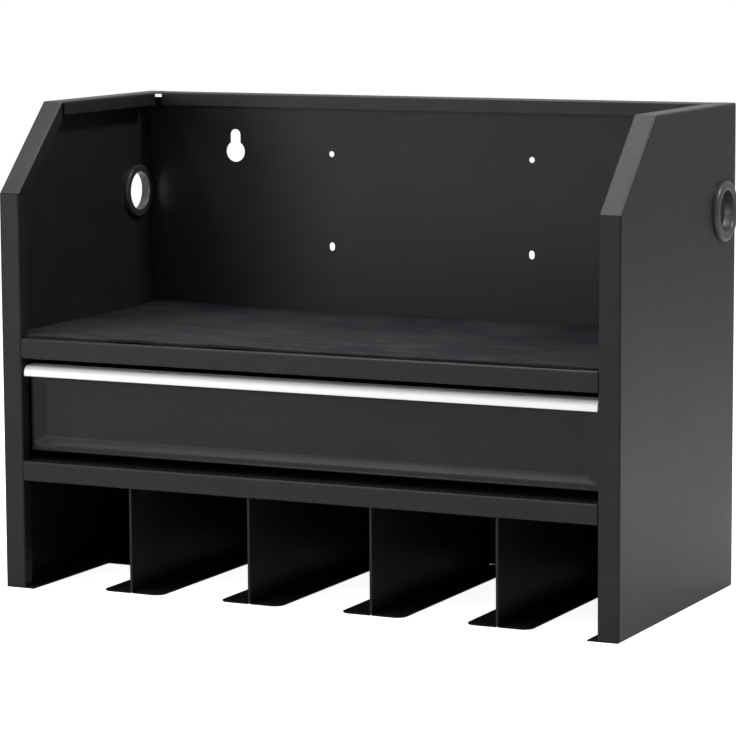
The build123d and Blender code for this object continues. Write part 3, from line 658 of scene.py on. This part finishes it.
def closed_sheet_faces(quads: np.ndarray, count: int) -> np.ndarray:
    """Faces of a closed sheet: the quads underneath, turned over, the same on top, and walls round the rim.

    An edge is on the rim when no quad runs along it the other way.

    Args:
        quads: The sheet's quads, as indices of bottom points, counter-clockwise seen from above.
        count: How many bottom points there are; each top point comes that many places later.

    Returns:
        Every face's four corner indices.
    """
    edges = np.concatenate([quads[:, [i, (i + 1) % 4]] for i in range(4)])
    code = edges[:, 0] * count + edges[:, 1]
    back = edges[:, 1] * count + edges[:, 0]
    rim = edges[~np.isin(code, back)]
    walls = np.stack([rim[:, 0], rim[:, 1], rim[:, 1] + count, rim[:, 0] + count], axis=1)
    return np.concatenate([quads[:, ::-1], quads + count, walls])


def drop_unused(points: np.ndarray, faces: np.ndarray) -> tuple[np.ndarray, np.ndarray]:
    """Leave out the points that no face uses, and renumber the faces."""
    used, renumbered = np.unique(faces, return_inverse=True)
    return points[used], renumbered.reshape(faces.shape)


@dataclass
class CableGrommet:
    """A side panel's cable grommet: a flanged bushing outside and a retaining ring inside."""

    side: Side
    bore: float = 20.2 * MM
    barrel: float = 23.2 * MM
    flange: float = 30.0 * MM
    flange_thick: float = 4.8 * MM
    mouth_drop: float = 1.5 * MM        # how far the crown falls towards the bore
    foot_share: float = 0.6             # the crown's upright foot, as a share of the drop
    tilt_share: float = 0.55            # how far the crown rises towards the bore, as a share of what is left
    crown_power: float = 2.6
    crown_points: int = 26
    ring: float = 27.5 * MM
    ring_thick: float = 5.0 * MM
    ring_round: float = 1.4 * MM
    ring_points: int = 9
    sheet: float = 1.2 * MM
    steps: int = 128

    def lathe(self, name: str, profile: np.ndarray) -> bpy.types.Object:
        """Turn a closed profile round the bore's axis.

        A profile point at radius r and distance d out from the panel goes, at angle t, to x = panel + d,
        y = centre + r cos t and z = centre + r sin t.

        Args:
            name: The piece's name.
            profile: An (n, 2) array of radii and distances.

        Returns:
            The piece.
        """
        low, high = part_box(f"{self.side.word}_grommet_bushing")
        centre = (low + high) / 2
        outer_face = (high.x if self.side is Side.RIGHT else -low.x) - self.flange_thick
        turn = np.linspace(0.0, 2.0 * math.pi, self.steps, endpoint=False)[:, None]
        radius, out = profile[None, :, 0], profile[None, :, 1]
        sign = self.side.value
        x = np.broadcast_to(sign * (outer_face + out), (self.steps, len(profile)))
        y = centre.y + radius * np.cos(turn)
        z = centre.z + radius * np.sin(turn)
        points = np.stack([x, y, z], axis=2).reshape(-1, 3)
        faces = grid_faces(self.steps, len(profile), True, True)
        if self.side is Side.RIGHT:
            faces = faces[:, ::-1]
        return new_piece(name, points, faces.tolist())

    def bushing_profile(self) -> np.ndarray:
        """Barrel, bore and flange.

        The flange's crown rises as one less a power of the distance from its middle, to the inverse of that
        power, which is a flattened half ellipse, and its base slopes into the bore.

        Returns:
            An (n, 2) array of radii and distances out from the panel.
        """
        end = -self.sheet - self.ring_thick
        across = np.linspace(0.0, 1.0, self.crown_points)
        radius = self.flange + (self.bore - self.flange) * across
        foot = self.mouth_drop * self.foot_share
        bulge = (1.0 - np.abs(1.0 - 2.0 * across) ** self.crown_power) ** (1.0 / self.crown_power)
        tilt = (self.flange_thick - self.mouth_drop) * across * self.tilt_share
        crown = foot + tilt + (self.flange_thick - foot - tilt) * bulge
        flange = np.stack([radius, np.minimum(crown, self.flange_thick)], axis=1)
        back = np.array([[self.bore, end], [self.barrel, end], [self.barrel, 0.0], [self.flange, 0.0]])
        return np.concatenate([back, flange])

    def ring_profile(self) -> np.ndarray:
        """Ring with its outer corner rounded.

        Returns:
            An (n, 2) array of radii and distances out from the panel.
        """
        end = -self.sheet - self.ring_thick
        corner = (self.ring - self.ring_round, end + self.ring_round)
        rounded = arc(corner, self.ring_round, -90.0, 0.0, self.ring_points)
        rest = np.array([[self.ring, -self.sheet], [self.barrel, -self.sheet], [self.barrel, end]])
        return np.concatenate([rounded, rest])

    def build(self, shop: PaintShop) -> None:
        """Build both pieces of the grommet.

        Args:
            shop: Makes and applies the finishes.
        """
        word = self.side.word
        bushing = self.lathe(f"{word}_cable_bushing", self.bushing_profile())
        shop.add(bushing, Finish.PLASTIC, "cabinet", f"{word}_grommet_bushing")
        ring = self.lathe(f"{word}_cable_ring", self.ring_profile())
        shop.add(ring, Finish.PLASTIC, "cabinet", f"{word}_grommet_ring")


@dataclass
class Pull:
    """Full-width aluminium pull: a quarter round over the drawer front's top, with a finger edge."""

    node: str = "drawer_pull"
    sheet: float = 1.6 * MM
    round: float = 7.8 * MM
    lip_reach: float = 2.5 * MM
    lip_round: float = 1.6 * MM
    cap: float = 9.0 * MM
    leg: float = 9.2 * MM
    edge: float = 0.3 * MM
    edge_turn: float = 50.0             # degrees; edges that turn by more are broken
    crease: float = 35.0
    round_points: int = 25
    inner_points: int = 21
    lip_points: int = 9

    def section(self) -> np.ndarray:
        """Outline across the pull: cap, quarter round, finger edge, and back along the inside to the leg.

        Returns:
            An (n, 2) array of y and z, counter-clockwise seen from the right-hand end.
        """
        low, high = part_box(self.node)
        top, foot, nose, back = high.z, low.z, low.y, high.y
        border = back - self.cap
        inner = self.round - self.sheet
        centre = (nose + self.round, top - self.round)
        lip_centre = (nose + self.lip_round, foot + self.lip_round)
        under = top - self.sheet
        leg_foot = under - self.leg
        return np.concatenate([
            [[back, top]],
            arc(centre, self.round, 90.0, 180.0, self.round_points),
            arc(lip_centre, self.lip_round, 180.0, 270.0, self.lip_points),
            [[nose + self.lip_reach, foot], [nose + self.lip_reach, foot + self.sheet]],
            [[nose + self.sheet, foot + self.sheet]],
            arc(centre, inner, 180.0, 90.0, self.inner_points),
            [[border - self.sheet, under], [border - self.sheet, leg_foot], [border, leg_foot]],
            [[border, under], [back, under]],
        ])

    def build(self, shop: PaintShop) -> None:
        """Carry the section along X and close its ends.

        Args:
            shop: Makes and applies the finishes.
        """
        low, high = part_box(self.node)
        section = self.section()
        count = len(section)
        ends = np.array([low.x, high.x])
        x = np.repeat(ends, count)
        yz = np.tile(section, (len(ends), 1))
        points = np.column_stack([x, yz])
        walls = grid_faces(len(ends), count, False, True)[:, ::-1]
        caps = [list(range(count))[::-1], list(range(count, 2 * count))]
        pull = new_piece("front_pull", points, walls.tolist() + caps, self.crease)
        soften = pull.modifiers.new("broken_edges", "BEVEL")
        soften.width = self.edge
        soften.segments = 2
        soften.limit_method = "ANGLE"
        soften.angle_limit = math.radians(self.edge_turn)
        shop.add(pull, Finish.ALUMINIUM, "drawer", self.node)


@dataclass
class PressedFront:
    """The drawer front: flanges folded back, a pressed-in middle with soft slopes, a bead along its foot."""

    node: str = "drawer_front"
    sheet: float = 1.0 * MM
    bend: float = 1.8 * MM
    # Sides, foot and top: the flat border's width, and how wide its slope is
    borders: Triple = (3.3 * MM, 6.5 * MM, 9.5 * MM)
    slopes: Triple = (12.0 * MM, 6.0 * MM, 3.0 * MM)
    depth: float = 5.5 * MM
    edge_round: float = 1.5 * MM
    bed_round: float = 5.0 * MM
    corner_round: float = 5.0 * MM
    least_round: float = 0.05 * MM
    bead: float = 1.4 * MM
    corner_steps: int = 10
    fold_steps: int = 10
    depth_steps: int = 24
    # Rings across the border, as shares of its width; those close together follow the bead
    border_shares: tuple[float, ...] = (0.07, 0.14, 0.19, 0.22, 0.235, 0.243, 0.26, 0.5, 0.8)
    crease: float = 50.0

    def slope_insets(self, depths: np.ndarray) -> np.ndarray:
        """How far in from the mouth each slope is at each depth.

        A slope is an arc of edge_round, a straight stretch and an arc of bed_round, each tangent to the next,
        so an arc's half chord at a depth d is the root of twice the radius times d, less d squared.

        Args:
            depths: Depths behind the border.

        Returns:
            A (depths, 3) array for the sides, the foot and the top.
        """
        width = np.array(self.slopes)[None, :]
        deep = depths[:, None]
        angle = np.arctan2(self.depth, width)
        half_turn = np.tan(angle / 2)
        left = self.depth - deep
        reach = np.sqrt(np.maximum(2 * self.edge_round * deep - deep ** 2, 0.0))
        approach = np.sqrt(np.maximum(2 * self.bed_round * left - left ** 2, 0.0))
        near_edge = deep < self.edge_round * (1 - np.cos(angle))
        near_bed = left < self.bed_round * (1 - np.cos(angle))
        straight = deep / np.tan(angle)
        curved = np.where(near_bed, width + self.bed_round * half_turn - approach, straight)
        return np.where(near_edge, reach - self.edge_round * half_turn, curved)

    def bend_rings(self, radius: float) -> np.ndarray:
        """Rings round the fold between the border and the flanges.

        At a turn t the inset is the bend less the radius times cos t, and the depth is the bend less the
        radius times sin t.

        Args:
            radius: The radius of this side of the sheet.

        Returns:
            An (n, 5) array: three insets from the outer faces, the corners' radius and the depth.
        """
        turn = np.radians(np.linspace(90.0, 0.0, self.fold_steps))
        inset = self.bend - radius * np.cos(turn)
        corner = np.maximum(self.bend - inset, self.least_round)
        return np.column_stack([inset, inset, inset, corner, self.bend - radius * np.sin(turn)])

    def ring_points(self, rings: np.ndarray) -> np.ndarray:
        """Points of rounded rectangles, counter-clockwise seen from the front.

        Each corner is a quarter circle about a centre that lies the corner's radius in from both sides.

        Args:
            rings: For each ring its insets at the sides, foot and top, its corners' radius and its depth.

        Returns:
            A (rings, points, 3) array.
        """
        low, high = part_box(self.node)
        side, foot, top, corner, depth = (rings[:, i, None] for i in range(rings.shape[1]))
        quarter = np.radians(np.linspace(0.0, 90.0, self.corner_steps))[None, :]
        across = high.x - side - corner
        upper, lower = high.z - top - corner, low.z + foot + corner
        centres = ((across, upper), (-across, upper), (-across, lower), (across, lower))
        turns = [quarter + math.radians(90.0 * i) for i in range(len(centres))]
        x = np.concatenate([at + corner * np.cos(turn) for (at, _), turn in zip(centres, turns)], axis=1)
        z = np.concatenate([at + corner * np.sin(turn) for (_, at), turn in zip(centres, turns)], axis=1)
        return np.stack([x, low.y + self.bead + depth + np.zeros_like(x), z], axis=2)

    def add_bead(self, points: np.ndarray) -> np.ndarray:
        """Push the foot's surface out to a half round that fades away at both ends.

        At a height h from its centre line the bead stands out by the root of its radius squared less h
        squared.

        Args:
            points: Ring points of the outer surface.

        Returns:
            The same points, with the bead.
        """
        low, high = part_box(self.node)
        x, y, z = (points[..., i] for i in range(3))
        off_centre = z - low.z - self.bead
        bulge = np.sqrt(np.maximum(self.bead ** 2 - off_centre ** 2, 0.0))
        raised = np.minimum(y, low.y + self.bead - bulge)
        share = np.clip((high.x - np.abs(x)) / self.bend, 0.0, 1.0) * (off_centre < self.bead)
        return np.stack([x, y + share * (raised - y), z], axis=2)

    def build(self, shop: PaintShop) -> None:
        """Join the rings from the pressed middle out to the flanges' rims and back along the inside.

        The depths follow one less a cosine, which brings them closer together in the slopes' arcs. The inside
        lies a sheet's thickness behind, and its slopes are further out by that thickness times the tangent of
        half their angle.

        Args:
            shop: Makes and applies the finishes.
        """
        low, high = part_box(self.node)
        rim = high.y - low.y - self.bead
        spread = np.linspace(0.0, math.pi, self.depth_steps)
        depths = self.depth * (1.0 - np.cos(spread)) / 2
        corner = np.full((self.depth_steps, 1), self.corner_round)
        pressed = np.column_stack([np.array(self.borders) + self.slope_insets(depths), corner, depths])
        fold = self.bend_rings(self.bend)
        border = fold[0] + (pressed[0] - fold[0]) * np.array(self.border_shares)[:, None]
        inner_fold = self.bend_rings(self.bend - self.sheet)
        thinner = self.sheet * np.tan(np.arctan2(self.depth, np.array(self.slopes)) / 2)
        inside = pressed + np.array([*-thinner, 0.0, self.sheet])
        rims = np.array([[0.0, 0.0, 0.0, self.bend, rim],
                         [self.sheet, self.sheet, self.sheet, self.bend - self.sheet, rim]])
        points = np.concatenate([
            self.ring_points(pressed[::-1]),
            self.add_bead(self.ring_points(np.concatenate([border[::-1], fold]))),
            self.ring_points(np.concatenate([rims, inner_fold[::-1], inside])),
        ])
        count = points.shape[1]
        last = len(points) * count
        walls = grid_faces(len(points), count, False, True)[:, ::-1]
        caps = [list(range(count)), list(range(last - count, last))[::-1]]
        front = new_piece("pressed_drawer_front", points.reshape(-1, 3), walls.tolist() + caps, self.crease)
        shop.add(front, Finish.POWDER_COAT, "drawer", self.node)


@dataclass
class Drawer:
    """The drawer box, its front and its pull."""

    front: PressedFront = field(default_factory=PressedFront)
    pull: Pull = field(default_factory=Pull)
    nodes: tuple[str, ...] = ("drawer_body", "pull_rivets", "slide_rivets")

    def build(self, shop: PaintShop) -> None:
        """Dress the folded box and the rivets, and build the front and the pull.

        Args:
            shop: Makes and applies the finishes.
        """
        shop.dress(*self.nodes)
        self.front.build(shop)
        self.pull.build(shop)


@dataclass
class BallSlides:
    """Both ball slides with their brackets, cages, balls and screws."""

    members: tuple[str, ...] = ("slide_bracket", "slide_outer", "slide_middle", "slide_inner",
                                "outer_cage", "inner_cage", "outer_balls", "inner_balls")

    def build(self, shop: PaintShop) -> None:
        """Dress every member."""
        shop.dress("slide_screws", *[f"{side.word}_{member}" for side in Side for member in self.members])


@dataclass
class PhotoCamera:
    """The photograph's camera, fitted to the corners of the cabinet in its 736-pixel frame."""

    place: Triple = (1.4703, -3.0308, 0.6709)
    yaw: float = 25.87                  # degrees, as pitch and roll are
    pitch: float = 7.62
    roll: float = -0.30
    focal_pixels: float = 3420.4
    frame_pixels: float = 736.0
    sensor: float = 36.0                # millimetres
    nearest: float = 0.05
    farthest: float = 60.0

    def build(self) -> None:
        """Look along the view direction, turned by the roll about it.

        The yaw turns that direction from +Y towards -X, and the pitch tilts it down.
        """
        yaw, pitch, roll = (math.radians(v) for v in (self.yaw, self.pitch, self.roll))
        ahead = Vector((-math.sin(yaw) * math.cos(pitch), math.cos(yaw) * math.cos(pitch), -math.sin(pitch)))
        level = Vector((math.cos(yaw), math.sin(yaw), 0.0))
        above = level.cross(ahead)
        right = level * math.cos(roll) + above * math.sin(roll)
        up = above * math.cos(roll) - level * math.sin(roll)
        data = bpy.data.cameras.new("photo_camera")
        data.sensor_width = self.sensor
        data.lens = self.focal_pixels / self.frame_pixels * self.sensor
        data.clip_start, data.clip_end = self.nearest, self.farthest
        camera = bpy.data.objects.new("photo_camera", data)
        bpy.context.scene.collection.objects.link(camera)
        camera.matrix_world = Matrix((
            (right.x, up.x, -ahead.x, self.place[0]),
            (right.y, up.y, -ahead.y, self.place[1]),
            (right.z, up.z, -ahead.z, self.place[2]),
            (0.0, 0.0, 0.0, 1.0),
        ))
        bpy.context.scene.camera = camera


@dataclass(frozen=True)
class Softbox:
    """A rectangular lamp that points at the cabinet."""

    name: str
    place: Triple
    width: float
    height: float
    power: float
    target: Triple = (0.0, 0.0, 0.24)

    def build(self) -> None:
        """Add the lamp and turn it to its target."""
        data = bpy.data.lights.new(self.name, "AREA")
        data.shape = "RECTANGLE"
        data.size = self.width
        data.size_y = self.height
        data.energy = self.power
        lamp = bpy.data.objects.new(self.name, data)
        bpy.context.scene.collection.objects.link(lamp)
        lamp.location = self.place
        lamp.rotation_euler = (Vector(self.target) - Vector(self.place)).to_track_quat("-Z", "Y").to_euler()


@dataclass
class Studio:
    """White surroundings, a pale floor and soft lamps."""

    floor_half: float = 12.0
    floor_colour: Colour = (0.72, 0.72, 0.72)
    surroundings: float = 0.12          # how bright they are as a light on the object
    reflected: float = 0.65             # how bright they look in a reflection
    floor_glow: float = 0.915           # what is added to the floor's own colour before the camera
    floor_glow_reflected: float = 0.12  # and in a reflection
    # Each lamp's name, place, width and height in metres, and power in watts
    lamps: tuple[Softbox, ...] = (
        Softbox("overhead", (-0.5, -0.1, 2.6), 1.5, 1.5, 44.0),
        Softbox("overhead_rear", (-0.4, 1.1, 2.5), 1.2, 1.2, 16.0),
        Softbox("upper_right", (1.35, -0.4, 2.4), 0.9, 0.9, 12.0),
        Softbox("slope_edge", (1.75, 0.1, 2.4), 0.4, 0.4, 52.0),
        Softbox("front_left", (-1.25, -2.6, 0.75), 1.4, 1.2, 5.0),
        Softbox("front_strip", (-0.6, -1.7, 0.7), 1.6, 0.4, 9.0),
        Softbox("left_front", (-0.9, -1.35, 0.4), 0.4, 0.5, 2.0),
        Softbox("edge_light", (-1.12, -1.6, 2.2), 0.35, 0.35, 11.0),
        Softbox("foot_light", (-1.2, -0.72, 2.6), 0.4, 0.4, 16.0),
    )

    def build(self) -> None:
        """Set up the floor, the lamps, the surroundings and the view transform."""
        self.build_floor()
        self.build_surroundings()
        for lamp in self.lamps:
            lamp.build()
        bpy.context.scene.view_settings.view_transform = "Standard"

    def build_floor(self) -> None:
        """A pale floor whose own colour is lifted to white where it is seen or reflected."""
        reach = self.floor_half
        corners = [[-reach, -reach, 0.0], [reach, -reach, 0.0], [reach, reach, 0.0], [-reach, reach, 0.0]]
        floor = new_piece("studio_floor", np.array(corners), [[0, 1, 2, 3]])
        tree = ShaderTree.of_material("studio_floor")
        glow = self.where_seen(tree, self.floor_glow, self.floor_glow_reflected)
        paint = tree.node("ShaderNodeBsdfDiffuse", None, {"Color": (*self.floor_colour, 1.0)})
        light = tree.node("ShaderNodeEmission", None, {"Strength": glow})
        floor.data.materials.append(tree.finish(tree.node("ShaderNodeAddShader", None, {0: paint, 1: light})))

    def build_surroundings(self) -> None:
        """White where it is seen or reflected, and a plain level of light otherwise."""
        world = bpy.data.worlds.new("studio_surroundings")
        bpy.context.scene.world = world
        tree = ShaderTree(world)
        strength = self.where_seen(tree, 1.0 - self.surroundings, self.reflected - self.surroundings)
        strength = strength + self.surroundings
        light = tree.node("ShaderNodeBackground", None, {"Color": (1.0, 1.0, 1.0, 1.0), "Strength": strength})
        tree.finish(light, "ShaderNodeOutputWorld")

    @staticmethod
    def where_seen(tree: ShaderTree, directly: float, in_gloss: float) -> Value:
        """A strength that depends on the kind of ray, and is 0 for all the others.

        Args:
            tree: The tree that gets the nodes.
            directly: The strength for rays from the camera or through glass.
            in_gloss: The strength for reflections.

        Returns:
            The strength.
        """
        ray = {name: tree.node("ShaderNodeLightPath", output=name)
               for name in ("Is Camera Ray", "Is Glossy Ray", "Is Transmission Ray")}
        clear = ray["Is Camera Ray"].maximum(ray["Is Transmission Ray"])
        return clear * directly + ray["Is Glossy Ray"] * in_gloss


def main() -> None:
    """Build the camera, the studio and every sub-assembly in order."""
    logging.basicConfig(level=logging.INFO, format="%(name)s: %(message)s")
    PhotoCamera().build()
    Studio().build()
    shop = PaintShop()
    Cabinet().build(shop)
    TrayMat().build(shop)
    for side in Side:
        CableGrommet(side).build(shop)
    Drawer().build(shop)
    BallSlides().build(shop)


if __name__ == "__main__":
    main()
